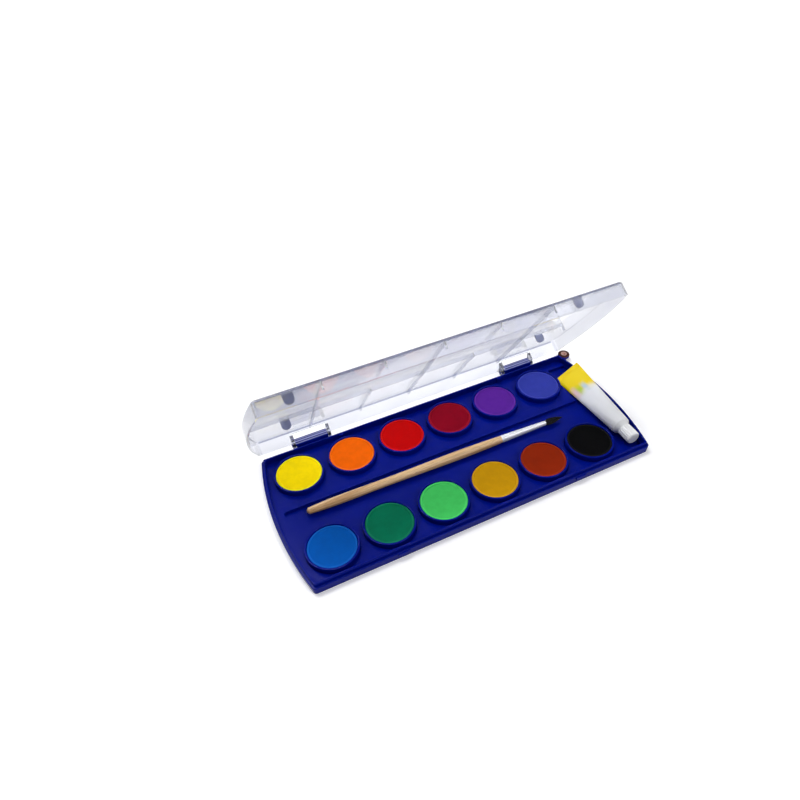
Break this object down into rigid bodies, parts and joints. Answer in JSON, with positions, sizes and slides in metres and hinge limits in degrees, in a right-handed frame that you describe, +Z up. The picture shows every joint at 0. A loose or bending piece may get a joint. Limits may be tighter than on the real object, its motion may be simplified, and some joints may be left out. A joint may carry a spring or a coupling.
{
  "type": "watercolour paint box",
  "caption": "Hinged clear-lidded tray of round paint pans with a brush channel, a brush and a paint tube; the lid doubles as a mixing palette.",
  "frame": {"origin": "middle of the tray's underside, on the surface it rests on", "axes": "+X to the right along the length, +Y to the hinge at the back, +Z up"},
  "size_m": [0.2368, 0.109, 0.0956],
  "materials": {
    "tray_blue": "glossy injection-moulded polystyrene, deep blue",
    "cup_blue": "glossy injection-moulded polystyrene, deep blue",
    "lid_clear": "clear polystyrene, polished",
    "eyelet_copper": "copper-coloured rolled metal",
    "handle_wood": "pale beech under clear lacquer",
    "ferrule_metal": "bright rolled metal",
    "hair_black": "fine black hair, drawn to a point",
    "tube_white": "white enamel on soft metal with a plain yellow band",
    "paint_white": "soft white paint",
    "cap_white": "white moulded cap",
    "paint_yellow": "pressed opaque watercolour cake, matt",
    "paint_orange": "pressed opaque watercolour cake, matt",
    "paint_red": "pressed opaque watercolour cake, matt",
    "paint_crimson": "pressed opaque watercolour cake, matt",
    "paint_violet": "pressed opaque watercolour cake, matt",
    "paint_ultramarine": "pressed opaque watercolour cake, matt",
    "paint_blue": "pressed opaque watercolour cake, matt",
    "paint_dark_green": "pressed opaque watercolour cake, matt",
    "paint_light_green": "pressed opaque watercolour cake, matt",
    "paint_ochre": "pressed opaque watercolour cake, matt",
    "paint_brown": "pressed opaque watercolour cake, matt",
    "paint_black": "pressed opaque watercolour cake, matt"
  },
  "bodies": {
    "box": {"tray": "tray_blue", "corner_eyelet": "eyelet_copper"},
    "lid": {"lid": "lid_clear"},
    "brush": {"brush_handle": "handle_wood", "brush_ferrule": "ferrule_metal", "brush_bristles": "hair_black"},
    "tube": {"tube_body": "tube_white", "tube_paint": "paint_white"},
    "cap": {"tube_cap": "cap_white"},
    "pan_yellow": {"cup_yellow": "cup_blue", "paint_yellow": "paint_yellow"},
    "pan_orange": {"cup_orange": "cup_blue", "paint_orange": "paint_orange"},
    "pan_red": {"cup_red": "cup_blue", "paint_red": "paint_red"},
    "pan_crimson": {"cup_crimson": "cup_blue", "paint_crimson": "paint_crimson"},
    "pan_violet": {"cup_violet": "cup_blue", "paint_violet": "paint_violet"},
    "pan_ultramarine": {"cup_ultramarine": "cup_blue", "paint_ultramarine": "paint_ultramarine"},
    "pan_blue": {"cup_blue": "cup_blue", "paint_blue": "paint_blue"},
    "pan_dark_green": {"cup_dark_green": "cup_blue", "paint_dark_green": "paint_dark_green"},
    "pan_light_green": {"cup_light_green": "cup_blue", "paint_light_green": "paint_light_green"},
    "pan_ochre": {"cup_ochre": "cup_blue", "paint_ochre": "paint_ochre"},
    "pan_brown": {"cup_brown": "cup_blue", "paint_brown": "paint_brown"},
    "pan_black": {"cup_black": "cup_blue", "paint_black": "paint_black"}
  },
  "joints": [
    {"name": "lid_hinge", "type": "hinge", "parent": "box", "child": "lid", "pos_m": [0, 0.0535, 0.0054], "axis": [-1, 0, 0], "range_deg": [-56, 64]},
    {"name": "brush_lift", "type": "slide", "parent": "box", "child": "brush", "axis": [0, 0, 1], "range_m": [0, 0.03]},
    {"name": "tube_lift", "type": "slide", "parent": "box", "child": "tube", "axis": [0, 0, 1], "range_m": [0, 0.02]},
    {"name": "cap_turn", "type": "hinge", "parent": "tube", "child": "cap", "pos_m": [0.1042, -0.0365, 0.00715], "axis": [0, -1, 0], "range_deg": [0, 360]},
    {"name": "yellow_pan_lift", "type": "slide", "parent": "box", "child": "pan_yellow", "axis": [0, 0, 1], "range_m": [0, 0.015]},
    {"name": "orange_pan_lift", "type": "slide", "parent": "box", "child": "pan_orange", "axis": [0, 0, 1], "range_m": [0, 0.015]},
    {"name": "red_pan_lift", "type": "slide", "parent": "box", "child": "pan_red", "axis": [0, 0, 1], "range_m": [0, 0.015]},
    {"name": "crimson_pan_lift", "type": "slide", "parent": "box", "child": "pan_crimson", "axis": [0, 0, 1], "range_m": [0, 0.015]},
    {"name": "violet_pan_lift", "type": "slide", "parent": "box", "child": "pan_violet", "axis": [0, 0, 1], "range_m": [0, 0.015]},
    {"name": "ultramarine_pan_lift", "type": "slide", "parent": "box", "child": "pan_ultramarine", "axis": [0, 0, 1], "range_m": [0, 0.015]},
    {"name": "blue_pan_lift", "type": "slide", "parent": "box", "child": "pan_blue", "axis": [0, 0, 1], "range_m": [0, 0.015]},
    {"name": "dark_green_pan_lift", "type": "slide", "parent": "box", "child": "pan_dark_green", "axis": [0, 0, 1], "range_m": [0, 0.015]},
    {"name": "light_green_pan_lift", "type": "slide", "parent": "box", "child": "pan_light_green", "axis": [0, 0, 1], "range_m": [0, 0.015]},
    {"name": "ochre_pan_lift", "type": "slide", "parent": "box", "child": "pan_ochre", "axis": [0, 0, 1], "range_m": [0, 0.015]},
    {"name": "brown_pan_lift", "type": "slide", "parent": "box", "child": "pan_brown", "axis": [0, 0, 1], "range_m": [0, 0.015]},
    {"name": "black_pan_lift", "type": "slide", "parent": "box", "child": "pan_black", "axis": [0, 0, 1], "range_m": [0, 0.015]}
  ]
}
